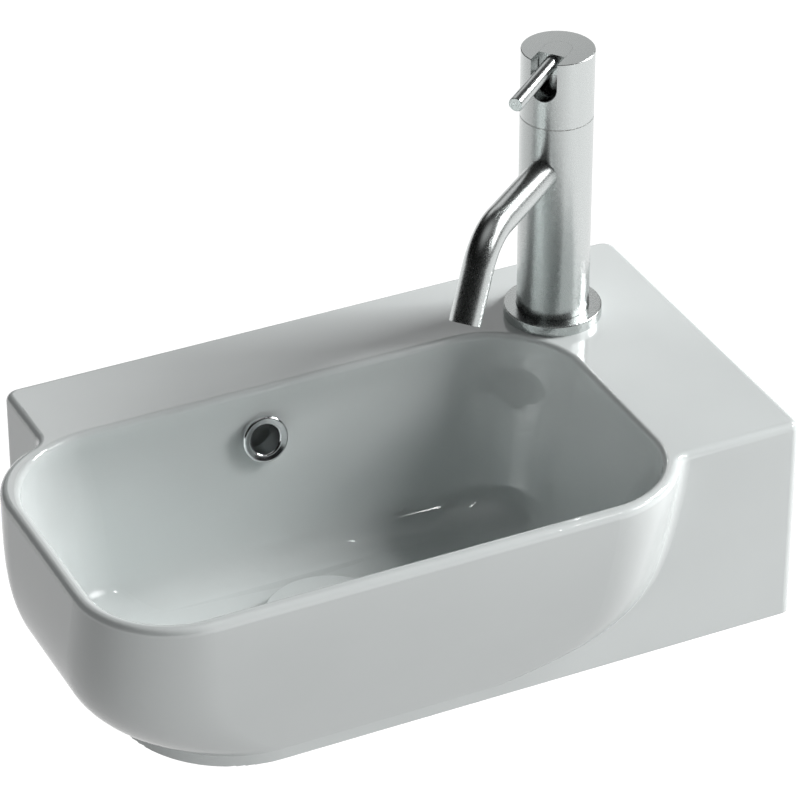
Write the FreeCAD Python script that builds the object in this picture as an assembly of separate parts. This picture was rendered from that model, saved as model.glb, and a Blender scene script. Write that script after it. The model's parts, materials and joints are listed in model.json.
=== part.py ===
import FreeCAD, Part
import math
import os

from FreeCAD import Placement, Rotation, Vector

# Wall-hung ceramic hand basin with a single-lever mixer tap and a push-open waste.
# Millimetres. The origin lies on the wall face, midway between the two fixing holes.
# X runs along the wall to the right, -Y points into the room and Z is up.

# Allowances shared by all pieces
overrun = 5.0
seat_gap = 0.05
running_gap = 0.08
moving_gap = 0.3
sheet_gap = 0.1
same_point = 1e-6
level_tolerance = 1e-4

# Ceramic block that stands against the wall
block_width = 362.0
block_depth = 211.0
block_height = 120.0
block_back_corner = 8.0
block_front_corner = 5.5
block_wall = 11.0
deck_thickness = 12.0
foot_height = 8.0
foot_corner = 64.0
wall_strip = 20.0
fixing_drop = 55.0
fixing_from_side = 41.0
fixing_hole_diameter = 13.0
rim_outer_round = 4.0
rim_inner_round = 3.2
base_round = 1.5

# Bowl lobe that swells out of the block to the left and to the front
lobe_left_reach = 38.0
lobe_front_reach = 33.0
lobe_back_setback = 54.0
lobe_right_margin = 67.0
lobe_back_left_radius = 50.0
lobe_front_left_radius = 52.0
lobe_front_right_radius = 58.0
lobe_base_step = 0.8
lobe_base_right_shift = 55.0
crease_radius = 11.0
crease_base_radius = 1.2
lobe_level_shares = (0.0, 0.25, 0.5, 0.7, 0.85, 0.95, 1.0)
lobe_left_power = 4.2
lobe_front_power = 1.4
lobe_right_power = 9.0
crease_power = 3.0

# Bowl inside: leaning walls, a cove and a nearly flat floor
rim_width = 8.5
back_ledge = 58.0
tap_ledge = 77.0
under_bowl = 24.0
bowl_fall = 1.2
bowl_wall = 9.5
cove_radius = 25.0
cove_end_angle = 86.0
shell_end_angle = 72.0
bowl_left_lean = 9.0
bowl_front_lean = 15.5
bowl_right_lean = 14.0
bowl_back_lean = 12.0
bowl_back_left_radius = 54.0
bowl_front_right_radius = 46.0
bowl_back_right_radius = 50.0
bowl_floor_corner_share = 0.82
bowl_level_shares = (0.0, 0.4, 0.79, 0.87, 0.93, 0.975, 1.0)

# Outlet in the bowl's floor
outlet_left_shift = 5.75
outlet_back_shift = 4.75
outlet_hole_play = 1.5
outlet_recess_play = 3.5
outlet_recess_depth = 8.0
outlet_edge_round = 3.0
outlet_apron = 1.0
outlet_boss_wall = 12.5

# Overflow hole in the bowl's back wall and the duct from it to the outlet
overflow_depth = 27.5
overflow_hole_diameter = 22.4
overflow_ring_diameter = 26.0
overflow_bore_diameter = 16.4
overflow_lip = 3.0
overflow_lip_round = 1.4
overflow_collar_wall = 2.2
overflow_collar_length = 12.0
duct_width = 40.0
duct_height = 5.8
duct_roof = 14.5
duct_wall = 3.2
duct_top_depth = 14.0

# Push-open waste
waste_flange_width = 12.0
waste_flange_thickness = 2.2
waste_flange_seal = 1.0
waste_shank_diameter = 42.0
waste_shank_wall = 2.5
waste_thread_margin = 4.0
waste_tail_reach = 30.0
waste_tail_inset = 5.0
waste_tail_wall = 2.0
waste_tail_step = 3.0
waste_window_width = 18.0
waste_window_height = 6.0
waste_window_drop = 2.4
spider_drop = 12.5
spider_height = 4.0
spider_arm_width = 4.0
spider_hub_diameter = 20.0
spider_arms = 3
waste_lower_seal = 4.0
waste_lower_seal_width = 8.0
backnut_height = 9.0
backnut_wall = 6.0
nut_bevel = 1.2

# Ceramic cap of the waste and the valve below it
cap_play = 2.5
cap_edge_thickness = 4.4
cap_crown = 1.2
cap_round = 1.3
cap_lift = 6.0
cap_seal_thickness = 1.6
cap_seal_width = 7.5
cap_seal_margin = 1.0
cap_holder_play = 3.5
cap_holder_thickness = 3.5
plunger_diameter = 7.0
plunger_length = 18.0
valve_diameter = 14.0
valve_shoulder_diameter = 18.0
valve_shoulder_height = 3.0
valve_rise = 4.0
valve_tail = 3.0
valve_floor = 2.0

# Mixer tap: column, base flange and fixing
tap_from_right = 64.9
tap_from_wall = 55.7
tap_height = 160.4
tap_diameter = 39.2
tap_hole_margin = 2.1
tap_heading = 218.5
tap_edge_bevel = 0.3
head_height = 38.8
head_seam = 0.5
tap_flange_width = 7.0
tap_flange_height = 6.0
tap_flange_play = 0.25
tap_flange_round = 0.7
tap_seal_margin = 2.0
tap_seal_height = 1.6
tap_spigot_play = 1.0
tap_spigot_length = 8.0
inlet_diameter = 9.0
inlet_depth = 16.0
inlet_margin = 8.0
inlet_setback = 2.0
passage_diameter = 5.0
mixed_passage_diameter = 6.4
mixed_passage_reach = 5.5
stud_diameter = 8.0
stud_margin = 5.5
stud_insert = 12.0
stud_drop = 40.0
clamp_overlap = 5.0
clamp_slot_margin = 2.5
clamp_slot_corner = 4.0
clamp_bridge = 6.5
clamp_pad_thickness = 2.5
clamp_plate_thickness = 2.5
stud_nut_across_flats = 13.0
stud_nut_height = 14.0

# Spout
spout_diameter = 16.7
spout_wall = 2.0
spout_drop = 27.4
spout_straight = 72.3
spout_bend_radius = 30.0
spout_bend_angle = 58.0
spout_tail = 30.0
spout_root = 9.0
spout_chamber_root = 2.0
aerator_length = 8.0
aerator_recess = 0.8
aerator_wall = 1.3
aerator_grid = 2.0
aerator_hole_diameter = 1.8
aerator_ring_share = 0.55
aerator_holes = 6

# Mixing cartridge in the top of the column
column_wall = 4.3
chamber_depth = 17.6
cartridge_seal_thickness = 1.2
cartridge_seal_margin = 1.5
cartridge_height = 11.0
neck_wall = 3.0
neck_height = 15.0
ball_diameter = 11.0
ball_drop = 3.0
spindle_diameter = 6.0
spindle_length = 16.0
glide_wall = 2.0
nut_collar_height = 5.0
glide_flange_thickness = 0.35

# Head with its slot, and the pin lever in its block
head_top_wall = 4.0
head_wall = 4.7
head_core_wall = 7.8
head_step_gap = 1.0
slot_width = 15.0
slot_drop = 22.6
hub_gap = 0.06
hub_reach = 8.0
hub_block_height = 11.5
hub_diameter = 14.0
hub_drop = 24.6
lever_diameter = 7.9
lever_fall_angle = 3.0
lever_drop = 4.6
lever_reach = 53.9
lever_root = 3.0
lever_bevel = 0.3
grub_diameter = 3.0
grub_length = 3.8
grub_height = 3.5

# Places that follow from the sizes
block_left = -block_width / 2
block_right = block_width / 2
block_front = -block_depth
deck_z = fixing_drop
base_z = deck_z - block_height
foot_top_z = base_z + foot_height
bowl_left = block_left - lobe_left_reach + rim_width
bowl_front = block_front - lobe_front_reach + rim_width
bowl_right = block_right - tap_ledge
bowl_back = -back_ledge
bowl_front_left_radius = lobe_front_left_radius - rim_width
bowl_depth = block_height - under_bowl
fixing_spacing = block_width - 2 * fixing_from_side
outlet_x = (bowl_left + bowl_right) / 2 - outlet_left_shift
outlet_y = (bowl_front + bowl_back) / 2 + outlet_back_shift
waste_bore_diameter = waste_shank_diameter - 2 * waste_shank_wall
waste_flange_diameter = waste_shank_diameter + 2 * waste_flange_width
waste_tail_diameter = waste_shank_diameter - 2 * waste_tail_inset
waste_tail_bore = waste_tail_diameter - 2 * waste_tail_wall
waste_lower_seal_diameter = waste_shank_diameter + 2 * waste_lower_seal_width
backnut_across_flats = waste_shank_diameter + 2 * backnut_wall
outlet_hole_diameter = waste_shank_diameter + 2 * outlet_hole_play
outlet_recess_diameter = waste_flange_diameter + 2 * outlet_recess_play
outlet_boss_diameter = outlet_hole_diameter + 2 * outlet_boss_wall
cap_diameter = outlet_recess_diameter - 2 * cap_play
cap_seal_inner_diameter = waste_bore_diameter + 2 * cap_seal_margin
cap_seal_outer_diameter = cap_seal_inner_diameter + 2 * cap_seal_width
cap_holder_diameter = waste_bore_diameter - 2 * cap_holder_play
outlet_depth = bowl_depth + bowl_fall
recess_floor_depth = outlet_depth + outlet_recess_depth
waste_flange_top_depth = recess_floor_depth - waste_flange_seal - waste_flange_thickness
cap_underside_depth = waste_flange_top_depth - moving_gap - cap_seal_thickness - cap_lift
spider_top_depth = recess_floor_depth + spider_drop
tap_x = block_right - tap_from_right
tap_y = -tap_from_wall
tap_hole_diameter = tap_diameter - 2 * tap_hole_margin
tap_spigot_diameter = tap_hole_diameter - 2 * tap_spigot_play
tap_flange_diameter = tap_diameter + 2 * tap_flange_width
tap_seal_outer_diameter = tap_flange_diameter - 2 * tap_seal_margin
tap_seal_inner_diameter = tap_diameter + 2 * tap_seal_margin
inlet_spread = tap_spigot_diameter - 2 * inlet_margin
stud_reach = tap_spigot_diameter / 2 - stud_margin
clamp_diameter = tap_hole_diameter + 2 * clamp_overlap
clamp_slot_width = tap_hole_diameter - 2 * clamp_slot_margin
chamber_diameter = tap_diameter - 2 * column_wall
head_bore_diameter = tap_diameter - 2 * head_wall
head_core_diameter = tap_diameter - 2 * head_core_wall
nut_collar_diameter = head_bore_diameter - 2 * glide_wall
neck_diameter = nut_collar_diameter - 2 * neck_wall
column_top = tap_height - head_height
spout_height = column_top - spout_drop
spout_bore_diameter = spout_diameter - 2 * spout_wall
chamber_floor = column_top - chamber_depth
cartridge_base = chamber_floor + cartridge_seal_thickness
neck_base = cartridge_base + cartridge_height
neck_top = neck_base + neck_height
pivot_height = neck_top - ball_drop
nut_top = column_top + nut_collar_height
head_base = column_top + head_seam
head_ceiling = tap_height - head_top_wall
hub_base = tap_height - hub_drop
hub_shoulder = tap_height - hub_block_height
lever_axis_height = tap_height - lever_drop


# Plane outlines

def arc_edge(centre_x, centre_y, radius, start_angle, end_angle, z):
    """Arc in a level plane, drawn from the start angle to the end angle in degrees."""
    points = []
    for angle in (start_angle, (start_angle + end_angle) / 2, end_angle):
        turn = math.radians(angle)
        points.append(Vector(centre_x + radius * math.cos(turn), centre_y + radius * math.sin(turn), z))
    return Part.Arc(*points).toShape()


def joined_by_lines(arcs):
    """Closed wire along the arcs in turn, with a straight line where two of them lie apart."""
    edges = []
    for arc, following in zip(arcs, arcs[1:] + arcs[:1]):
        edges.append(arc)
        arc_end = arc.valueAt(arc.LastParameter)
        next_start = following.valueAt(following.FirstParameter)
        if arc_end.distanceToPoint(next_start) > same_point:
            edges.append(Part.makeLine(arc_end, next_start))
    return Part.Wire(edges)


def rounded_rectangle(x_low, y_low, x_high, y_high, radii, z):
    """Rectangle with radii for its back-left, front-left, front-right and back-right corners."""
    back_left, front_left, front_right, back_right = radii
    return joined_by_lines([
        arc_edge(x_low + back_left, y_high - back_left, back_left, 90, 180, z),
        arc_edge(x_low + front_left, y_low + front_left, front_left, 180, 270, z),
        arc_edge(x_high - front_right, y_low + front_right, front_right, 270, 360, z),
        arc_edge(x_high - back_right, y_high - back_right, back_right, 0, 90, z),
    ])


def prism(outline, height):
    return Part.Face(outline).extrude(Vector(0, 0, height))


# Round bodies about the Z axis

def rod(diameter, z_low, z_high):
    return Part.makeCylinder(diameter / 2, z_high - z_low, Vector(0, 0, z_low))


def tube(outer_diameter, inner_diameter, z_low, z_high):
    return rod(outer_diameter, z_low, z_high).cut(rod(inner_diameter, z_low - overrun, z_high + overrun))


def level_rod(diameter, height, x_low, x_high):
    """Round bar along X at a height above the local origin."""
    return Part.makeCylinder(diameter / 2, x_high - x_low, Vector(x_low, 0, height), Vector(1, 0, 0))


def hexagon(across_flats, z_low, z_high):
    corner_radius = across_flats / (2 * math.cos(math.radians(30)))
    corners = [Vector(corner_radius * math.cos(math.radians(60 * turn)),
                      corner_radius * math.sin(math.radians(60 * turn)), z_low) for turn in range(7)]
    return prism(Part.makePolygon(corners), z_high - z_low)


def revolved(profile_edges):
    """Solid of a closed profile in the XZ plane turned about the Z axis."""
    return Part.Face(Part.Wire(profile_edges)).revolve(Vector(0, 0, 0), Vector(0, 0, 1), 360)


def polyline(points):
    return [Part.makeLine(Vector(r0, 0, z0), Vector(r1, 0, z1))
            for (r0, z0), (r1, z1) in zip(points, points[1:])]


def rim_edges(shape, z, diameter):
    """Full circles of a diameter about the Z axis at a height."""
    found = []
    for edge in shape.Edges:
        curve = edge.Curve
        if isinstance(curve, Part.Circle) and abs(curve.Radius - diameter / 2) < same_point:
            if curve.Center.isEqual(Vector(0, 0, z), same_point):
                found.append(edge)
    return found


def level_edges(shape, z):
    """Edges that lie in the level plane at a height."""
    return [edge for edge in shape.Edges
            if all(abs(vertex.Z - z) < level_tolerance for vertex in edge.Vertexes)
            and abs(edge.CenterOfMass.z - z) < level_tolerance]


def edges_along(shape, outline):
    """Edges of a shape that match those of an outline."""
    def matches(edge, drawn):
        same_middle = edge.CenterOfMass.isEqual(drawn.CenterOfMass, level_tolerance)
        return same_middle and abs(edge.Length - drawn.Length) < level_tolerance

    return [edge for edge in shape.Edges if any(matches(edge, drawn) for drawn in outline.Edges)]


# Ceramic body

def blended(top_value, base_value, share):
    return top_value + (base_value - top_value) * share


def lobed_outline(share):
    """Outline of block and lobe together, at a share of the way from the deck down to the foot."""
    z = blended(deck_z, foot_top_z, share)
    left_reach = blended(lobe_left_reach, lobe_base_step, share ** lobe_left_power)
    front_reach = blended(lobe_front_reach, lobe_base_step, share ** lobe_front_power)
    front_left_radius = blended(lobe_front_left_radius, foot_corner, share)
    blend = blended(crease_radius, crease_base_radius, share ** crease_power)
    lobe_left = block_left - left_reach
    lobe_front = block_front - front_reach

    # Back-left swell, and the hollow blend that joins it to the block's left side
    swell_x = lobe_left + lobe_back_left_radius
    swell_y = -lobe_back_setback - lobe_back_left_radius
    side_blend_x = block_left - blend
    side_rise = math.sqrt((lobe_back_left_radius + blend) ** 2 - (swell_x - side_blend_x) ** 2)
    side_blend_y = swell_y + side_rise
    side_angle = math.degrees(math.atan2(-side_rise, swell_x - side_blend_x))

    # Front-right swell, and the hollow blend that joins it to the block's front
    shoulder_x = (block_right - lobe_right_margin - lobe_front_right_radius
                  - lobe_base_right_shift * share ** lobe_right_power)
    shoulder_y = lobe_front + lobe_front_right_radius
    front_blend_y = block_front - blend
    front_run = math.sqrt((lobe_front_right_radius + blend) ** 2 - (shoulder_y - front_blend_y) ** 2)
    front_blend_x = shoulder_x + front_run
    front_angle = math.degrees(math.atan2(front_blend_y - shoulder_y, front_run))

    back = block_back_corner
    corner = block_front_corner
    return joined_by_lines([
        arc_edge(block_left + back, -back, back, 90, 180, z),
        arc_edge(side_blend_x, side_blend_y, blend, 0, side_angle, z),
        arc_edge(swell_x, swell_y, lobe_back_left_radius, 180 + side_angle, 180, z),
        arc_edge(lobe_left + front_left_radius, lobe_front + front_left_radius, front_left_radius,
                 180, 270, z),
        arc_edge(shoulder_x, shoulder_y, lobe_front_right_radius, 270, 360 + front_angle, z),
        arc_edge(front_blend_x, front_blend_y, blend, 180 + front_angle, 90, z),
        arc_edge(block_right - corner, block_front + corner, corner, 270, 360, z),
        arc_edge(block_right - back, -back, back, 0, 90, z),
    ])


def block_outline(inset, z):
    """Plain outline of the block, drawn in by an inset."""
    back = max(block_back_corner - inset, base_round)
    corner = max(block_front_corner - inset, base_round)
    radii = (back, foot_corner - inset, corner, back)
    return rounded_rectangle(block_left + inset, block_front + inset, block_right - inset, -inset, radii, z)


def outer_mass():
    """Block with its lobe and its foot, all still solid, with a plane wall face."""
    lobe = Part.makeLoft([lobed_outline(share) for share in lobe_level_shares], True, False)
    block = prism(block_outline(0, foot_top_z), block_height - foot_height)
    wall_side = Part.makeBox(block_width + 2 * overrun, wall_strip + overrun, block_height,
                             Vector(block_left - overrun, -wall_strip, foot_top_z))
    mass = lobe.cut(wall_side).fuse(block.common(wall_side)).removeSplitter()
    mass = mass.makeFillet(rim_outer_round, level_edges(mass, deck_z))
    foot = prism(block_outline(0, base_z), foot_height)
    foot = foot.makeFillet(base_round, level_edges(foot, base_z))
    return mass.fuse(foot).removeSplitter()


def cove_centre(lean):
    """Inset and depth of the centre of the cove between a wall of this lean and the floor."""
    lean_turn = math.radians(lean)
    end_turn = math.radians(cove_end_angle)
    start_depth = bowl_depth - cove_radius * (math.sin(end_turn) - math.sin(lean_turn))
    inset = start_depth * math.tan(lean_turn) + cove_radius * math.cos(lean_turn)
    return inset, start_depth - cove_radius * math.sin(lean_turn)


def wall_inset(depth, lean, offset):
    """How far a bowl wall, or the surface an offset outside it, has come in at a depth."""
    lean_turn = math.radians(lean)
    centre_inset, centre_depth = cove_centre(lean)
    radius = cove_radius + offset
    below_centre = depth - centre_depth
    if below_centre <= radius * math.sin(lean_turn):
        return depth * math.tan(lean_turn) - offset / math.cos(lean_turn)
    return centre_inset - math.sqrt(max(radius ** 2 - below_centre ** 2, 0))


def bowl_outline(depth, offset):
    """Outline of the bowl, or of the surface an offset outside it, at a depth below the deck."""
    share = min(max(depth / bowl_depth, 0), 1)
    shrink = blended(1, bowl_floor_corner_share, share)
    radii = [radius * shrink + offset for radius in (bowl_back_left_radius, bowl_front_left_radius,
                                                      bowl_front_right_radius, bowl_back_right_radius)]
    return rounded_rectangle(bowl_left + wall_inset(depth, bowl_left_lean, offset),
                             bowl_front + wall_inset(depth, bowl_front_lean, offset),
                             bowl_right - wall_inset(depth, bowl_right_lean, offset),
                             bowl_back - wall_inset(depth, bowl_back_lean, offset), radii, deck_z - depth)


def bowl_hollow():
    """Space inside the bowl, from above the deck down to the flat round the outlet."""
    depths = [-overrun] + [bowl_depth * share for share in bowl_level_shares]
    walls = Part.makeLoft([bowl_outline(depth, 0) for depth in depths], True, False)
    apron = outlet_recess_diameter / 2 + outlet_edge_round + outlet_apron
    apron_radii = (apron - outlet_apron,) * 4
    apron_outline = rounded_rectangle(outlet_x - apron, outlet_y - apron, outlet_x + apron, outlet_y + apron,
                                      apron_radii, deck_z - outlet_depth)
    floor = Part.makeLoft([bowl_outline(bowl_depth, 0), apron_outline], True, True)
    return walls.fuse(floor)


def bowl_shell():
    """Bowl with its wall thickness, solid, as the underside meets it."""
    cove_depth = bowl_depth - cove_radius * math.sin(math.radians(cove_end_angle))
    reach = cove_depth + (cove_radius + bowl_wall) * math.sin(math.radians(shell_end_angle))
    depths = [reach * share for share in bowl_level_shares]
    return Part.makeLoft([bowl_outline(depth, bowl_wall) for depth in depths], True, False)


def duct_profile(near_offset, far_offset, top_depth):
    """Strip that follows the bowl's back wall and cove at two offsets, on to the outlet's axis."""
    lean_turn = math.radians(bowl_back_lean)
    centre_inset, centre_depth = cove_centre(bowl_back_lean)

    def place(inset, depth):
        return Vector(0, bowl_back - inset, deck_z - depth)

    def on_cove(offset, angle):
        turn = math.radians(angle)
        radius = cove_radius + offset
        return place(centre_inset - radius * math.cos(turn), centre_depth + radius * math.sin(turn))

    def on_wall(offset):
        return place(top_depth * math.tan(lean_turn) - offset / math.cos(lean_turn), top_depth)

    def under_outlet(offset):
        return Vector(0, outlet_y, deck_z - centre_depth - cove_radius - offset)

    half_way = (bowl_back_lean + 90) / 2
    edges = []
    for offset in (near_offset, far_offset):
        bend = [on_cove(offset, angle) for angle in (bowl_back_lean, half_way, 90)]
        edges.append([
            Part.makeLine(on_wall(offset), bend[0]),
            Part.Arc(*bend).toShape(),
            Part.makeLine(bend[-1], under_outlet(offset)),
        ])
    near, far = edges
    outlet_end = Part.makeLine(under_outlet(near_offset), under_outlet(far_offset))
    top_end = Part.makeLine(on_wall(far_offset), on_wall(near_offset))
    return Part.Wire(near + [outlet_end] + far[::-1] + [top_end])


def duct_body(near_offset, far_offset, top_depth, width):
    strip = Part.Face(duct_profile(near_offset, far_offset, top_depth))
    strip.translate(Vector(outlet_x - width / 2, 0, 0))
    return strip.extrude(Vector(width, 0, 0))


def underside_hollow():
    """Hollow below deck and bowl, open at the bottom, with the duct and the outlet boss left standing."""
    hollow = prism(block_outline(block_wall, base_z - overrun), block_height + overrun - deck_thickness)
    duct_cover = duct_body(0, duct_roof + duct_height + duct_wall, 0, duct_width + 2 * duct_wall)
    boss = at_outlet(rod(outlet_boss_diameter, -block_height - overrun, -bowl_depth))
    return hollow.cut(bowl_shell()).cut(duct_cover).cut(boss)


def overflow_placement():
    """Local Z along the back wall's normal into the bowl, from the middle of the overflow hole."""
    wall_y = bowl_back - overflow_depth * math.tan(math.radians(bowl_back_lean))
    turn = Rotation(Vector(1, 0, 0), 90 - bowl_back_lean)
    return Placement(Vector(outlet_x, wall_y, deck_z - overflow_depth), turn)


def at_overflow(shape):
    placed = shape.copy()
    placed.Placement = overflow_placement() * shape.Placement
    return placed


def at_outlet(shape):
    """Waste pieces are drawn about the outlet's axis, with their origin at deck level."""
    placed = shape.copy()
    placed.translate(Vector(outlet_x, outlet_y, deck_z))
    return placed


def at_tap(shape):
    """Tap pieces are drawn on the deck, with local X along the spout."""
    placed = shape.copy()
    tap_placement = Placement(Vector(tap_x, tap_y, deck_z), Rotation(Vector(0, 0, 1), tap_heading))
    placed.Placement = tap_placement * shape.Placement
    return placed


def basin_body():
    body = outer_mass().cut(underside_hollow()).cut(bowl_hollow())
    body = body.makeFillet(rim_inner_round, edges_along(body, bowl_outline(0, 0)))

    recess = at_outlet(rod(outlet_recess_diameter, -recess_floor_depth, -outlet_depth + overrun))
    body = body.cut(recess)
    recess_middle = Vector(outlet_x, outlet_y, deck_z - outlet_depth)
    recess_rim = Part.makeCircle(outlet_recess_diameter / 2, recess_middle)
    body = body.makeFillet(outlet_edge_round, edges_along(body, recess_rim))

    cuts = [
        at_outlet(rod(outlet_hole_diameter, -block_height - overrun, -outlet_depth)),
        duct_body(duct_roof, duct_roof + duct_height, duct_top_depth, duct_width),
        at_overflow(rod(overflow_hole_diameter, -duct_roof - duct_height / 2, overrun)),
        at_tap(rod(tap_hole_diameter, -deck_thickness - overrun, overrun)),
    ]
    for side in (-1, 1):
        hole = Part.makeCylinder(fixing_hole_diameter / 2, block_wall + 2 * overrun,
                                 Vector(side * fixing_spacing / 2, overrun, 0), Vector(0, -1, 0))
        cuts.append(hole)
    return body.cut(cuts)


# Overflow trim

def overflow_ring():
    """Polished lip on the bowl's wall, with a collar that goes into the hole."""
    outer = overflow_ring_diameter / 2
    inner = overflow_bore_diameter / 2
    collar = inner + overflow_collar_wall
    shoulder = overflow_lip - overflow_lip_round
    bend = overflow_lip_round * math.cos(math.radians(45))
    crown = Part.Arc(Vector(outer, 0, shoulder),
                     Vector(outer - overflow_lip_round + bend, 0, shoulder + bend),
                     Vector(outer - overflow_lip_round, 0, overflow_lip)).toShape()
    mouth = Part.Arc(Vector(inner + overflow_lip_round, 0, shoulder + overflow_lip_round / 2),
                     Vector(inner + overflow_lip_round - bend, 0, shoulder - overflow_lip_round / 2 + bend),
                     Vector(inner, 0, shoulder - overflow_lip_round / 2)).toShape()
    back = polyline([(inner, shoulder - overflow_lip_round / 2), (inner, -overflow_collar_length),
                     (collar, -overflow_collar_length), (collar, sheet_gap), (outer, sheet_gap),
                     (outer, shoulder)])
    face = polyline([(outer - overflow_lip_round, overflow_lip),
                     (inner + overflow_lip_round, shoulder + overflow_lip_round / 2)])
    return at_overflow(revolved([crown] + face + [mouth] + back))


def overflow_sleeve():
    """Rubber sleeve that grips the collar in the ceramic hole."""
    collar_diameter = overflow_bore_diameter + 2 * overflow_collar_wall
    sleeve = tube(overflow_hole_diameter - 2 * seat_gap, collar_diameter + 2 * seat_gap,
                  -overflow_collar_length, -moving_gap)
    return at_overflow(sleeve)


# Waste

def waste_flange_seal_ring():
    low = -recess_floor_depth
    hole_diameter = waste_shank_diameter + 2 * moving_gap
    return at_outlet(tube(waste_flange_diameter, hole_diameter, low, low + waste_flange_seal))


def waste_body():
    """Flanged tube through the outlet, with overflow windows, a spider for the valve and a plain tail."""
    flange_top = -waste_flange_top_depth
    flange_base = flange_top - waste_flange_thickness
    shank_end = -block_height - waste_lower_seal - backnut_height - waste_thread_margin
    tail_end = -block_height - waste_tail_reach
    outside = rod(waste_flange_diameter, flange_base, flange_top)
    outside = outside.fuse(rod(waste_shank_diameter, shank_end, flange_base))
    outside = outside.fuse(rod(waste_tail_diameter, tail_end, shank_end))
    body = outside.cut(rod(waste_bore_diameter, shank_end + waste_tail_step, flange_top + overrun))
    body = body.cut(rod(waste_tail_bore, tail_end - overrun, flange_top))
    body = body.makeFillet(waste_flange_thickness / 2, rim_edges(body, flange_top, waste_flange_diameter))

    window_top = -recess_floor_depth - waste_window_drop
    window = Part.makeBox(waste_window_width, waste_shank_diameter + 2 * overrun, waste_window_height,
                          Vector(-waste_window_width / 2, -waste_shank_diameter / 2 - overrun,
                                 window_top - waste_window_height))
    body = body.cut(window)

    spider_top = -spider_top_depth
    spider_low = spider_top - spider_height
    arm_length = (waste_bore_diameter + waste_shank_diameter) / 4
    spider = rod(spider_hub_diameter, spider_low, spider_top)
    for turn in range(spider_arms):
        arm = Part.makeBox(arm_length, spider_arm_width, spider_height,
                           Vector(0, -spider_arm_width / 2, spider_low))
        arm.rotate(Vector(0, 0, 0), Vector(0, 0, 1), 360 * turn / spider_arms)
        spider = spider.fuse(arm)
    spider = spider.cut(rod(valve_diameter + 2 * seat_gap, spider_low - overrun, spider_top + overrun))
    return at_outlet(body.fuse(spider))


def waste_lower_seal_ring():
    top = -block_height
    hole_diameter = waste_shank_diameter + 2 * sheet_gap
    return at_outlet(tube(waste_lower_seal_diameter, hole_diameter, top - waste_lower_seal, top))


def waste_backnut():
    top = -block_height - waste_lower_seal
    nut = hexagon(backnut_across_flats, top - backnut_height, top)
    bevelled = rod(backnut_across_flats + 2 * nut_bevel, top - backnut_height, top)
    bevelled = bevelled.makeChamfer(nut_bevel, rim_edges(bevelled, top - backnut_height,
                                                         backnut_across_flats + 2 * nut_bevel))
    hole = rod(waste_shank_diameter + 2 * seat_gap, top - backnut_height - overrun, top + overrun)
    return at_outlet(nut.common(bevelled).cut(hole))


def waste_cap():
    """Slightly crowned ceramic disc, drawn at its raised, open height."""
    radius = cap_diameter / 2
    low = -cap_underside_depth
    edge_top = low + cap_edge_thickness
    bend = cap_round * math.cos(math.radians(45))
    crown = Part.Arc(Vector(0, 0, edge_top + cap_crown),
                     Vector((radius - cap_round) / 2, 0, edge_top + cap_crown * 3 / 4),
                     Vector(radius - cap_round, 0, edge_top)).toShape()
    shoulder = Part.Arc(Vector(radius - cap_round, 0, edge_top),
                        Vector(radius - cap_round + bend, 0, edge_top - cap_round + bend),
                        Vector(radius, 0, edge_top - cap_round)).toShape()
    rest = polyline([(radius, edge_top - cap_round), (radius, low), (0, low), (0, edge_top + cap_crown)])
    return at_outlet(revolved([crown, shoulder] + rest))


def waste_cap_seal():
    top = -cap_underside_depth
    return at_outlet(tube(cap_seal_outer_diameter, cap_seal_inner_diameter, top - cap_seal_thickness, top))


def waste_cap_holder():
    top = -cap_underside_depth
    low = top - cap_holder_thickness
    holder = rod(cap_holder_diameter, low, top)
    return at_outlet(holder.makeChamfer(nut_bevel, rim_edges(holder, low, cap_holder_diameter)))


def waste_plunger():
    top = -cap_underside_depth - cap_holder_thickness
    return at_outlet(rod(plunger_diameter, top - plunger_length, top))


def waste_valve():
    """Fixed half of the push valve, hung by its shoulder on the spider."""
    seat = -spider_top_depth
    barrel = rod(valve_diameter, seat - spider_height - valve_tail, seat + valve_shoulder_height + valve_rise)
    shoulder = rod(valve_shoulder_diameter, seat, seat + valve_shoulder_height)
    guide = rod(plunger_diameter + 2 * running_gap, seat - spider_height - valve_tail + valve_floor,
                seat + valve_shoulder_height + valve_rise + overrun)
    return at_outlet(barrel.fuse(shoulder).cut(guide))


# Mixer tap: column, flange and fixing

def tap_flange():
    ring = tube(tap_flange_diameter, tap_diameter + 2 * tap_flange_play, 0, tap_flange_height)
    ring = ring.makeFillet(tap_flange_round, rim_edges(ring, tap_flange_height, tap_flange_diameter))
    groove = tube(tap_seal_outer_diameter + 2 * seat_gap, tap_seal_inner_diameter - 2 * seat_gap,
                  -overrun, tap_seal_height)
    return at_tap(ring.cut(groove))


def tap_flange_seal():
    return at_tap(tube(tap_seal_outer_diameter, tap_seal_inner_diameter, 0, tap_seal_height))


def passages(diameter, z_low, z_high):
    """Pair of upright holes for hot and cold water."""
    holes = []
    for side in (-1, 1):
        hole = rod(diameter, z_low, z_high)
        hole.translate(Vector(-inlet_setback, side * inlet_spread / 2, 0))
        holes.append(hole)
    return holes


def mixed_passage(diameter, z_low, z_high):
    hole = rod(diameter, z_low, z_high)
    hole.translate(Vector(mixed_passage_reach, 0, 0))
    return hole


def stud_rod(diameter, z_low, z_high):
    bar = rod(diameter, z_low, z_high)
    bar.translate(Vector(stud_reach, 0, 0))
    return bar


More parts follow.
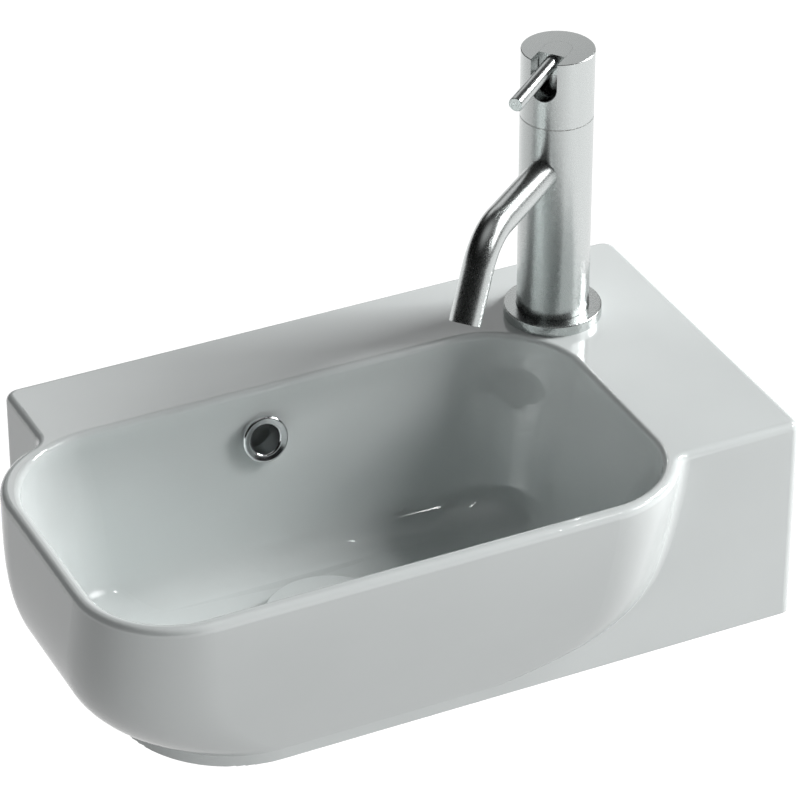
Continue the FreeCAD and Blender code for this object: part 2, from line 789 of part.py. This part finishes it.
def tap_body():
    """Column with its centring spigot, water ways and the seats of spout and cartridge."""
    column = rod(tap_diameter, 0, column_top).fuse(rod(tap_spigot_diameter, -tap_spigot_length, 0))
    cuts = passages(inlet_diameter, -tap_spigot_length - overrun, inlet_depth - tap_spigot_length)
    cuts += passages(passage_diameter, 0, chamber_floor + overrun)
    cuts.append(mixed_passage(mixed_passage_diameter, spout_height, chamber_floor + overrun))
    cuts.append(stud_rod(stud_diameter + 2 * seat_gap, -tap_spigot_length - overrun,
                         stud_insert - tap_spigot_length))
    cuts.append(rod(chamber_diameter, chamber_floor, column_top + overrun))
    cuts.append(level_rod(spout_diameter + 2 * seat_gap, spout_height, spout_root, tap_diameter))
    cuts.append(level_rod(spout_bore_diameter, spout_height, spout_chamber_root, tap_diameter))
    return at_tap(column.cut(cuts))


def spout_path(start):
    """Centre line of the spout from a start on the straight run to its outlet."""
    turn = math.radians(spout_bend_angle)
    bend_start = Vector(spout_straight, 0, spout_height)

    def on_bend(angle):
        return Vector(spout_straight + spout_bend_radius * math.sin(angle), 0,
                      spout_height - spout_bend_radius * (1 - math.cos(angle)))

    outlet = on_bend(turn) + Vector(math.cos(turn), 0, -math.sin(turn)) * spout_tail
    return Part.Wire([
        Part.makeLine(Vector(start, 0, spout_height), bend_start),
        Part.Arc(bend_start, on_bend(turn / 2), on_bend(turn)).toShape(),
        Part.makeLine(on_bend(turn), outlet),
    ])


def swept_round(diameter):
    circle = Part.makeCircle(diameter / 2, Vector(spout_root, 0, spout_height), Vector(1, 0, 0))
    return spout_path(spout_root).makePipeShell([Part.Wire(circle)], True, False)


def tap_spout():
    return at_tap(swept_round(spout_diameter).cut(swept_round(spout_bore_diameter)))


def tap_aerator():
    """Insert in the spout's mouth: a short sleeve with a pierced grid at its face."""
    outlet_edge = spout_path(spout_root).Edges[-1]
    mouth = outlet_edge.valueAt(outlet_edge.LastParameter)
    outward = outlet_edge.tangentAt(outlet_edge.LastParameter)
    diameter = spout_bore_diameter - 2 * seat_gap
    face = -aerator_recess
    insert = tube(diameter, diameter - 2 * aerator_wall, face - aerator_length, face)
    grid = rod(diameter - aerator_wall, face - aerator_recess - aerator_grid, face - aerator_recess)
    holes = [rod(aerator_hole_diameter, face - aerator_length, face)]
    ring_radius = aerator_ring_share * (diameter / 2 - aerator_wall)
    for turn in range(aerator_holes):
        angle = math.radians(360 * turn / aerator_holes)
        hole = rod(aerator_hole_diameter, face - aerator_length, face)
        hole.translate(Vector(ring_radius * math.cos(angle), ring_radius * math.sin(angle), 0))
        holes.append(hole)
    insert = insert.fuse(grid.cut(holes))
    insert.Placement = Placement(mouth, Rotation(Vector(0, 0, 1), outward))
    return at_tap(insert)


def tap_stud():
    return at_tap(stud_rod(stud_diameter, -deck_thickness - stud_drop, stud_insert - tap_spigot_length))


def clamp_shape(thickness, top):
    """Horseshoe plate below the deck, open towards the water inlets."""
    low = top - thickness
    plate = rod(clamp_diameter, low, top)
    slot_outline = rounded_rectangle(-clamp_diameter, -clamp_slot_width / 2, stud_reach - clamp_bridge,
                                     clamp_slot_width / 2, (clamp_slot_corner,) * 4, low - overrun)
    slot = prism(slot_outline, thickness + 2 * overrun)
    hole = stud_rod(stud_diameter + 2 * moving_gap, low - overrun, top + overrun)
    return plate.cut([slot, hole])


def tap_clamp_pad():
    return at_tap(clamp_shape(clamp_pad_thickness, -deck_thickness))


def tap_clamp_plate():
    return at_tap(clamp_shape(clamp_plate_thickness, -deck_thickness - clamp_pad_thickness))


def tap_stud_nut():
    top = -deck_thickness - clamp_pad_thickness - clamp_plate_thickness
    nut = hexagon(stud_nut_across_flats, top - stud_nut_height, top)
    nut = nut.cut(rod(stud_diameter + 2 * seat_gap, top - stud_nut_height - overrun, top + overrun))
    nut.translate(Vector(stud_reach, 0, 0))
    return at_tap(nut)


# Mixing cartridge

def cartridge_seal():
    seal = rod(chamber_diameter - 2 * cartridge_seal_margin, chamber_floor, cartridge_base)
    cuts = passages(passage_diameter, chamber_floor - overrun, cartridge_base + overrun)
    cuts.append(mixed_passage(mixed_passage_diameter, chamber_floor - overrun, cartridge_base + overrun))
    return at_tap(seal.cut(cuts))


def cartridge_housing():
    """Fixed part of the cartridge, with the socket in its neck where the spindle's ball turns."""
    housing = rod(chamber_diameter - 2 * moving_gap, cartridge_base, neck_base)
    housing = housing.fuse(rod(neck_diameter, neck_base, neck_top))
    socket = Part.makeSphere(ball_diameter / 2 + moving_gap, Vector(0, 0, pivot_height))
    return at_tap(housing.cut(socket))


def cartridge_spindle():
    ball = Part.makeSphere(ball_diameter / 2, Vector(0, 0, pivot_height))
    return at_tap(ball.fuse(rod(spindle_diameter, pivot_height, pivot_height + spindle_length)))


def cartridge_nut():
    """Ring screwed into the column over the cartridge, with a collar that guides the head."""
    nut = rod(chamber_diameter - 2 * seat_gap, neck_base, column_top)
    nut = nut.fuse(rod(nut_collar_diameter, column_top, nut_top))
    return at_tap(nut.cut(rod(neck_diameter + 2 * sheet_gap, neck_base - overrun, nut_top + overrun)))


def head_glide_ring():
    """Plastic ring on which the head turns; its thin flange is the dark line below the head."""
    guide = rod(head_bore_diameter - 2 * running_gap, column_top, nut_top)
    flange = rod(tap_diameter - 2 * head_seam, column_top, column_top + glide_flange_thickness)
    hole = rod(nut_collar_diameter + 2 * seat_gap, column_top - overrun, nut_top + overrun)
    return at_tap(guide.fuse(flange).cut(hole))


# Head and lever

def slot_plan(width, reach, z_low, z_high):
    """Upright slot from a round end on the axis out along local X."""
    round_end = rod(width, z_low, z_high)
    run = Part.makeBox(reach, width, z_high - z_low, Vector(0, -width / 2, z_low))
    return round_end.fuse(run)


def head_shell():
    """Hollow head, slotted at the top and in front for the lever."""
    head = rod(tap_diameter, head_base, tap_height)
    head = head.makeChamfer(tap_edge_bevel, rim_edges(head, tap_height, tap_diameter))
    bore = rod(head_bore_diameter, head_base - overrun, nut_top + head_step_gap)
    core = rod(head_core_diameter, head_base, head_ceiling)
    slot_floor = tap_height - slot_drop + slot_width / 2
    front_slot = Part.makeBox(tap_diameter, slot_width, slot_drop + overrun,
                              Vector(0, -slot_width / 2, slot_floor))
    slot_end = level_rod(slot_width, slot_floor, 0, tap_diameter)
    top_slot = slot_plan(slot_width, tap_diameter, head_ceiling - overrun, tap_height + overrun)
    return at_tap(head.cut([bore, core, front_slot, slot_end, top_slot]))


def lever_bar(diameter, start, end):
    """Bar along the lever's falling axis, between two distances from the tap's axis."""
    fall = math.radians(lever_fall_angle)
    direction = Vector(math.cos(fall), 0, -math.sin(fall))
    foot = Vector(0, 0, lever_axis_height) + direction * (start / math.cos(fall))
    return Part.makeCylinder(diameter / 2, (end - start) / math.cos(fall), foot, direction)


def lever_hub():
    """Block on the spindle that carries the lever pin and fills the inner end of the head's top slot."""
    hub = slot_plan(slot_width - 2 * hub_gap, hub_reach, hub_shoulder, tap_height)
    hub = hub.fuse(rod(hub_diameter, hub_base, hub_shoulder))
    cuts = [
        rod(spindle_diameter + 2 * seat_gap, hub_base - overrun, pivot_height + spindle_length + seat_gap),
        lever_bar(lever_diameter + 2 * seat_gap, lever_root - seat_gap, hub_diameter),
        level_rod(grub_diameter + 2 * seat_gap, hub_base + grub_height, -hub_diameter, 0),
    ]
    return at_tap(hub.cut(cuts))


def lever_pin():
    pin = lever_bar(lever_diameter, lever_root, lever_reach)
    tip = max((edge for edge in pin.Edges if isinstance(edge.Curve, Part.Circle)),
              key=lambda edge: edge.Curve.Center.x)
    return at_tap(pin.makeChamfer(lever_bevel, [tip]))


def hub_grub_screw():
    start = -spindle_diameter / 2 - seat_gap
    return at_tap(level_rod(grub_diameter, hub_base + grub_height, start - grub_length, start))


pieces = {
    "basin_body": basin_body,
    "overflow_ring": overflow_ring,
    "overflow_sleeve": overflow_sleeve,
    "waste_body": waste_body,
    "waste_flange_seal": waste_flange_seal_ring,
    "waste_lower_seal": waste_lower_seal_ring,
    "waste_backnut": waste_backnut,
    "waste_valve": waste_valve,
    "waste_plunger": waste_plunger,
    "waste_cap": waste_cap,
    "waste_cap_holder": waste_cap_holder,
    "waste_cap_seal": waste_cap_seal,
    "tap_body": tap_body,
    "tap_flange": tap_flange,
    "tap_flange_seal": tap_flange_seal,
    "tap_spout": tap_spout,
    "tap_aerator": tap_aerator,
    "tap_stud": tap_stud,
    "tap_clamp_pad": tap_clamp_pad,
    "tap_clamp_plate": tap_clamp_plate,
    "tap_stud_nut": tap_stud_nut,
    "cartridge_seal": cartridge_seal,
    "cartridge_housing": cartridge_housing,
    "cartridge_nut": cartridge_nut,
    "cartridge_spindle": cartridge_spindle,
    "head_glide_ring": head_glide_ring,
    "head_shell": head_shell,
    "lever_hub": lever_hub,
    "lever_pin": lever_pin,
    "hub_grub_screw": hub_grub_screw,
}

os.makedirs("parts", exist_ok=True)
for name, make_piece in pieces.items():
    shape = make_piece()
    print(name, shape.isValid(), len(shape.Solids), round(shape.Volume))
    shape.exportStep("parts/" + name + ".step")
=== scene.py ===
import json
import math

import bpy
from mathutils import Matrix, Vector

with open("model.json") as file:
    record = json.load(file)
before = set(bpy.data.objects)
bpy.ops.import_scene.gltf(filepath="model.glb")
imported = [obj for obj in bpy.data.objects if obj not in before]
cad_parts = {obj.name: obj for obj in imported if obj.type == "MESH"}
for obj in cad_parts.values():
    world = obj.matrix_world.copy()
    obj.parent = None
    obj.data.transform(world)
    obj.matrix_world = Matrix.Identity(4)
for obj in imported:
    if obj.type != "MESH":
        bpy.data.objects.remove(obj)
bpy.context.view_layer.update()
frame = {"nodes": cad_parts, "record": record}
nodes = frame["nodes"]
scene = bpy.context.scene

# All sizes are in metres, in the frame of the part

# Floor
MOUNT_HEIGHT = 0.80
FLOOR_REACH = 9.0
FLOOR_TONE = 0.12

# Shade on the floor, which only reflections see
SHADE_PLACE = (-1.05, -0.15, -MOUNT_HEIGHT)
SHADE_INNER = 0.2
SHADE_OUTER = 2.8
SHADE_TONE = 0.48

# Strength of the surroundings as a light, and to look at
WORLD_LIGHT = 0.02
WORLD_LOOK = 1.0

# Dark roof, which only reflections see
TENT_RADIUS = 4.0
TENT_LOW = math.radians(4)
TENT_ROWS = 8
TENT_COLUMNS = 32
TENT_TONE = 0.005

# Grey net to the right of the tap ledge
SCRIM_PLACE = 0.22
SCRIM_FRONT, SCRIM_BACK = -0.215, 0.05
SCRIM_LOW, SCRIM_HIGH = -0.5, 0.07
SCRIM_TONE = 0.6

# Lamps, and lit cards that only reflections see
LAMP_SIZE = 1.0
LAMP_DISTANCE = 3.2
LAMP_TARGET = Vector((0, -0.1, 0))
CARD_SIDES = 48
CARD_DISTANCE = 1.9

# Viewpoint, with its angles in degrees and its lens and sensor in millimetres
VIEW_AZIMUTH = -25.909
VIEW_ELEVATION = 32.433
VIEW_TARGET = Vector((0.00766, -0.0905, 0.0482))
VIEW_DISTANCE = 2.2323
VIEW_LENS = 191.0
VIEW_SENSOR = 36.0

# The part of a noise's range that is spread over a range of values or colours
NOISE_LOW, NOISE_HIGH = 0.3, 0.7

# One face around four corners
SQUARE_FACE = [(0, 1, 2, 3)]


class Surface:
    """A node material with one principled shader, and short ways to add texture nodes to it."""

    def __init__(self, name, constants=()):
        self.material = bpy.data.materials.new(name)
        self.material.use_nodes = True
        self.tree = self.material.node_tree
        self.shader = self.tree.nodes["Principled BSDF"]
        for socket, value in dict(constants).items():
            self.shader.inputs[socket].default_value = value
        self.position = self.tree.nodes.new("ShaderNodeTexCoord").outputs["Object"]

    def link(self, source, target):
        """Connect two sockets."""
        self.tree.links.new(source, target)

    def noise(self, scale, detail, stretch=(1, 1, 1)):
        """Noise over the part, with a scale in features per metre and a stretch for each axis."""
        mapping = self.tree.nodes.new("ShaderNodeMapping")
        mapping.inputs["Scale"].default_value = stretch
        self.link(self.position, mapping.inputs["Vector"])
        texture = self.tree.nodes.new("ShaderNodeTexNoise")
        texture.inputs["Scale"].default_value = scale
        texture.inputs["Detail"].default_value = detail
        self.link(mapping.outputs["Vector"], texture.inputs["Vector"])
        return texture.outputs["Fac"]

    def colour(self, source, low, high):
        """Base colour between two colours, by a noise."""
        ramp = self.tree.nodes.new("ShaderNodeValToRGB")
        first, last = ramp.color_ramp.elements
        first.position = NOISE_LOW
        last.position = NOISE_HIGH
        first.color = (*low, 1)
        last.color = (*high, 1)
        self.link(source, ramp.inputs["Fac"])
        self.link(ramp.outputs["Color"], self.shader.inputs["Base Color"])

    def roughness(self, source, low, high):
        """Roughness between two values, by a noise."""
        spread = self.tree.nodes.new("ShaderNodeMapRange")
        spread.inputs["From Min"].default_value = NOISE_LOW
        spread.inputs["From Max"].default_value = NOISE_HIGH
        spread.inputs["To Min"].default_value = low
        spread.inputs["To Max"].default_value = high
        self.link(source, spread.inputs["Value"])
        self.link(spread.outputs["Result"], self.shader.inputs["Roughness"])

    def bump(self, source, height, strength):
        """Relief by a noise, with a height in metres."""
        relief = self.tree.nodes.new("ShaderNodeBump")
        relief.inputs["Strength"].default_value = strength
        relief.inputs["Distance"].default_value = height
        self.link(source, relief.inputs["Height"])
        self.link(relief.outputs["Normal"], self.shader.inputs["Normal"])


def glazed_ceramic():
    """White fired glaze: a hard gloss with a faint waviness and a trace of pooling in its tone."""
    surface = Surface("glazed_ceramic", {"IOR": 1.7})
    pooling = surface.noise(scale=14, detail=4)
    surface.colour(pooling, low=(0.765, 0.805, 0.80), high=(0.79, 0.83, 0.825))
    haze = surface.noise(scale=35, detail=5)
    surface.roughness(haze, low=0.004, high=0.012)
    waves = surface.noise(scale=40, detail=1)
    surface.bump(waves, height=0.0001, strength=0.12)
    return surface.material


def satin_steel():
    """Fine satin steel: an even speckle too small to show a direction."""
    surface = Surface("satin_steel", {"Metallic": 1.0})
    speckle = surface.noise(scale=2500, detail=2)
    surface.colour(speckle, low=(0.57, 0.595, 0.59), high=(0.61, 0.635, 0.63))
    surface.roughness(speckle, low=0.24, high=0.30)
    surface.bump(speckle, height=0.000012, strength=0.4)
    return surface.material


def polished_chrome():
    """Bright plating with the haze of wiped water marks."""
    surface = Surface("polished_chrome", {"Metallic": 1.0})
    tarnish = surface.noise(scale=120, detail=3)
    surface.colour(tarnish, low=(0.80, 0.81, 0.82), high=(0.84, 0.85, 0.86))
    marks = surface.noise(scale=260, detail=5)
    surface.roughness(marks, low=0.12, high=0.20)
    waves = surface.noise(scale=400, detail=2)
    surface.bump(waves, height=0.00001, strength=0.2)
    return surface.material


def plain_steel():
    """Turned steel, left as machined."""
    surface = Surface("plain_steel", {"Metallic": 1.0})
    grain = surface.noise(scale=1200, detail=3, stretch=(0.1, 0.1, 3))
    surface.colour(grain, low=(0.48, 0.48, 0.49), high=(0.60, 0.60, 0.61))
    handling = surface.noise(scale=300, detail=4)
    surface.roughness(handling, low=0.28, high=0.42)
    surface.bump(grain, height=0.00003, strength=0.5)
    return surface.material


def plated_brass():
    """Nickel plate over a cast and turned brass body."""
    surface = Surface("plated_brass", {"Metallic": 1.0})
    tarnish = surface.noise(scale=90, detail=4)
    surface.colour(tarnish, low=(0.68, 0.66, 0.62), high=(0.77, 0.75, 0.72))
    marks = surface.noise(scale=220, detail=5)
    surface.roughness(marks, low=0.14, high=0.26)
    turning = surface.noise(scale=1500, detail=2, stretch=(0.2, 0.2, 1))
    surface.bump(turning, height=0.00002, strength=0.4)
    return surface.material


def black_rubber():
    """Matt moulded rubber with a dusty bloom."""
    surface = Surface("black_rubber")
    bloom = surface.noise(scale=160, detail=4)
    surface.colour(bloom, low=(0.018, 0.018, 0.018), high=(0.035, 0.035, 0.036))
    handling = surface.noise(scale=240, detail=4)
    surface.roughness(handling, low=0.55, high=0.75)
    grain = surface.noise(scale=2600, detail=3)
    surface.bump(grain, height=0.00003, strength=0.6)
    return surface.material


def white_plastic():
    """Moulded plastic with a fine spark-eroded grain."""
    surface = Surface("white_plastic")
    flow = surface.noise(scale=60, detail=3)
    surface.colour(flow, low=(0.80, 0.80, 0.78), high=(0.85, 0.85, 0.83))
    handling = surface.noise(scale=300, detail=4)
    surface.roughness(handling, low=0.35, high=0.5)
    grain = surface.noise(scale=3200, detail=2)
    surface.bump(grain, height=0.00002, strength=0.5)
    return surface.material


def dress_nodes():
    """Every solid of the frame takes the finish of its material slot."""
    finishes = {
        "glazed_ceramic": glazed_ceramic(),
        "satin_steel": satin_steel(),
        "polished_chrome": polished_chrome(),
        "plain_steel": plain_steel(),
        "plated_brass": plated_brass(),
        "black_rubber": black_rubber(),
        "white_plastic": white_plastic(),
    }
    for subpart in frame["record"]["subparts"]:
        materials = nodes[subpart["node"]].data.materials
        materials.clear()
        materials.append(finishes[subpart["material_slot"]])


def direction(azimuth, elevation):
    """Unit vector at angles in degrees, from the front towards the right and above the horizon."""
    turn, rise = math.radians(azimuth), math.radians(elevation)
    return Vector((math.sin(turn) * math.cos(rise), -math.cos(turn) * math.cos(rise), math.sin(rise)))


def aim(item, target, azimuth, elevation, distance):
    """Put a lamp, card or camera at angles and a distance from a target, and turn it to face the target."""
    place = target + direction(azimuth, elevation) * distance
    item.location = place
    item.rotation_mode = "QUATERNION"
    item.rotation_quaternion = (target - place).to_track_quat("-Z", "Y")


def stage_material(name):
    """An empty material, its node tree and the socket that its shader goes to."""
    material = bpy.data.materials.new(name)
    material.use_nodes = True
    tree = material.node_tree
    tree.nodes.clear()
    output = tree.nodes.new("ShaderNodeOutputMaterial")
    return material, tree, output.inputs["Surface"]


def combine(tree, operation, first, second):
    """One sum, product or maximum of two values."""
    node = tree.nodes.new("ShaderNodeMath")
    node.operation = operation
    tree.links.new(first, node.inputs[0])
    tree.links.new(second, node.inputs[1])
    return node.outputs["Value"]


def fade(tree, centre, inner, outer, low, high):
    """Smooth change from low, at the inner distance from a centre, to high, at the outer distance."""
    place = tree.nodes.new("ShaderNodeTexCoord")
    away = tree.nodes.new("ShaderNodeVectorMath")
    away.operation = "DISTANCE"
    away.inputs[1].default_value = centre
    tree.links.new(place.outputs["Object"], away.inputs[0])
    spread = tree.nodes.new("ShaderNodeMapRange")
    spread.interpolation_type = "SMOOTHSTEP"
    spread.inputs["From Min"].default_value = inner
    spread.inputs["From Max"].default_value = outer
    spread.inputs["To Min"].default_value = low
    spread.inputs["To Max"].default_value = high
    tree.links.new(away.outputs["Value"], spread.inputs["Value"])
    return spread.outputs["Result"]


def add_floor():
    """Wide floor as far below the basin as it hangs on a wall, which glows but gives little light."""
    mesh = bpy.data.meshes.new("floor")
    corners = ((-1, -1), (1, -1), (1, 1), (-1, 1))
    points = [(x * FLOOR_REACH, y * FLOOR_REACH, -MOUNT_HEIGHT) for x, y in corners]
    mesh.from_pydata(points, [], SQUARE_FACE)
    floor = bpy.data.objects.new("floor", mesh)
    scene.collection.objects.link(floor)

    material, tree, surface = stage_material("pale_floor")
    matt = tree.nodes.new("ShaderNodeBsdfDiffuse")
    matt.inputs["Color"].default_value = (FLOOR_TONE, FLOOR_TONE, FLOOR_TONE, 1)
    glow = tree.nodes.new("ShaderNodeEmission")
    tree.links.new(floor_glow(tree), glow.inputs["Strength"])
    both = tree.nodes.new("ShaderNodeAddShader")
    tree.links.new(matt.outputs["BSDF"], both.inputs[0])
    tree.links.new(glow.outputs["Emission"], both.inputs[1])
    tree.links.new(both.outputs["Shader"], surface)
    mesh.materials.append(material)


def floor_glow(tree):
    """White to the camera. Reflections see the same floor with a shade on it, to the left of the basin."""
    path = tree.nodes.new("ShaderNodeLightPath").outputs
    direct = combine(tree, "MAXIMUM", path["Is Camera Ray"], path["Is Transmission Ray"])
    shade = fade(tree, SHADE_PLACE, SHADE_INNER, SHADE_OUTER, low=SHADE_TONE, high=1)
    reflected = combine(tree, "MULTIPLY", path["Is Glossy Ray"], shade)
    return combine(tree, "ADD", direct, reflected)


def add_world():
    """White to the camera, to reflections and through clear material, and dim as a light."""
    world = bpy.data.worlds.new("studio")
    scene.world = world
    world.use_nodes = True
    tree = world.node_tree
    path = tree.nodes.new("ShaderNodeLightPath").outputs
    seen = combine(tree, "MAXIMUM", path["Is Camera Ray"], path["Is Glossy Ray"])
    seen = combine(tree, "MAXIMUM", seen, path["Is Transmission Ray"])
    level = tree.nodes.new("ShaderNodeMapRange")
    level.inputs["To Min"].default_value = WORLD_LIGHT
    level.inputs["To Max"].default_value = WORLD_LOOK
    tree.links.new(seen, level.inputs["Value"])
    background = tree.nodes["Background"]
    background.inputs["Color"].default_value = (1, 1, 1, 1)
    tree.links.new(level.outputs["Result"], background.inputs["Strength"])


def add_softbox(name, azimuth, elevation, power, reflected=False):
    """Square soft lamp, at angles from the front towards the right and above the horizon."""
    light = bpy.data.lights.new(name, "AREA")
    light.shape = "SQUARE"
    light.size = LAMP_SIZE
    light.energy = power
    lamp = bpy.data.objects.new(name, light)
    lamp.visible_glossy = reflected
    scene.collection.objects.link(lamp)
    aim(lamp, LAMP_TARGET, azimuth, elevation, LAMP_DISTANCE)


def add_scrim():
    """Grey net that thins the key light on the end of the tap ledge, which stands square to the lamp."""
    mesh = bpy.data.meshes.new("scrim")
    points = [
        (SCRIM_PLACE, SCRIM_FRONT, SCRIM_LOW),
        (SCRIM_PLACE, SCRIM_BACK, SCRIM_LOW),
        (SCRIM_PLACE, SCRIM_BACK, SCRIM_HIGH),
        (SCRIM_PLACE, SCRIM_FRONT, SCRIM_HIGH),
    ]
    mesh.from_pydata(points, [], SQUARE_FACE)
    scrim = bpy.data.objects.new("scrim", mesh)
    scene.collection.objects.link(scrim)
    scrim.visible_camera = False
    scrim.visible_diffuse = False
    scrim.visible_glossy = False
    scrim.visible_transmission = False

    material, tree, surface = stage_material("scrim")
    net = tree.nodes.new("ShaderNodeBsdfTransparent")
    net.inputs["Color"].default_value = (SCRIM_TONE, SCRIM_TONE, SCRIM_TONE, 1)
    tree.links.new(net.outputs["BSDF"], surface)
    mesh.materials.append(material)


def add_reflected(mesh, material):
    """Stage piece that only reflections see."""
    piece = bpy.data.objects.new(mesh.name, mesh)
    scene.collection.objects.link(piece)
    piece.visible_camera = False
    piece.visible_diffuse = False
    piece.visible_shadow = False
    piece.visible_transmission = False
    mesh.materials.append(material)
    return piece


def add_tent():
    """Dark studio roof for reflections, so that gloss shows the lamps and cards against it."""
    points = []
    for row in range(TENT_ROWS + 1):
        rise = TENT_LOW + (math.pi / 2 - TENT_LOW) * row / TENT_ROWS
        reach, height = TENT_RADIUS * math.cos(rise), TENT_RADIUS * math.sin(rise)
        for column in range(TENT_COLUMNS):
            turn = 2 * math.pi * column / TENT_COLUMNS
            points.append((reach * math.cos(turn), reach * math.sin(turn), height))
    faces = []
    for row in range(TENT_ROWS):
        low, high = row * TENT_COLUMNS, (row + 1) * TENT_COLUMNS
        for column in range(TENT_COLUMNS):
            after = (column + 1) % TENT_COLUMNS
            faces.append((low + column, low + after, high + after, high + column))
    mesh = bpy.data.meshes.new("tent")
    mesh.from_pydata(points, [], faces)

    material, tree, surface = stage_material("tent")
    glow = tree.nodes.new("ShaderNodeEmission")
    glow.inputs["Strength"].default_value = TENT_TONE
    tree.links.new(glow.outputs["Emission"], surface)
    add_reflected(mesh, material)


def add_card(name, azimuth, elevation, radius, strength):
    """Round lit card for reflections, which thins out towards its edge."""
    mesh = bpy.data.meshes.new(name)
    turns = [2 * math.pi * step / CARD_SIDES for step in range(CARD_SIDES)]
    points = [(radius * math.cos(turn), radius * math.sin(turn), 0) for turn in turns]
    mesh.from_pydata(points, [], [tuple(range(CARD_SIDES))])

    material, tree, surface = stage_material(name)
    clear = tree.nodes.new("ShaderNodeBsdfTransparent")
    glow = tree.nodes.new("ShaderNodeEmission")
    glow.inputs["Strength"].default_value = strength
    both = tree.nodes.new("ShaderNodeMixShader")
    tree.links.new(fade(tree, (0, 0, 0), 0, radius, low=1, high=0), both.inputs["Fac"])
    tree.links.new(clear.outputs["BSDF"], both.inputs[1])
    tree.links.new(glow.outputs["Emission"], both.inputs[2])
    tree.links.new(both.outputs["Shader"], surface)
    card = add_reflected(mesh, material)
    aim(card, LAMP_TARGET, azimuth, elevation, CARD_DISTANCE)


def add_camera():
    """The viewpoint of the photograph."""
    camera = bpy.data.cameras.new("camera")
    camera.lens = VIEW_LENS
    camera.sensor_width = VIEW_SENSOR
    viewer = bpy.data.objects.new("camera", camera)
    scene.collection.objects.link(viewer)
    aim(viewer, VIEW_TARGET, VIEW_AZIMUTH, VIEW_ELEVATION, VIEW_DISTANCE)
    scene.camera = viewer


dress_nodes()
add_camera()
add_floor()
add_world()

# Lamps, with angles in degrees and power in watts
add_softbox("key", azimuth=85, elevation=34, power=97, reflected=True)
add_softbox("key_low", azimuth=70, elevation=19, power=34)
add_softbox("low_front", azimuth=22, elevation=-5, power=43)
add_softbox("low_left", azimuth=-70, elevation=5, power=17)
add_softbox("high_left", azimuth=-150, elevation=50, power=8)
add_softbox("back", azimuth=165, elevation=25, power=7)
add_softbox("low_back", azimuth=180, elevation=-5, power=36)
add_scrim()

# What reflections see
add_tent()
add_card("back_right", azimuth=152, elevation=26, radius=0.7, strength=1.1)
add_card("back_left", azimuth=169, elevation=33, radius=0.45, strength=1.2)
add_card("side_window", azimuth=54, elevation=31, radius=0.5, strength=6.5)
add_card("window", azimuth=36, elevation=46, radius=0.08, strength=24.0)
add_card("above", azimuth=0, elevation=88, radius=1.2, strength=0.5)
scene.view_settings.view_transform = "Standard"
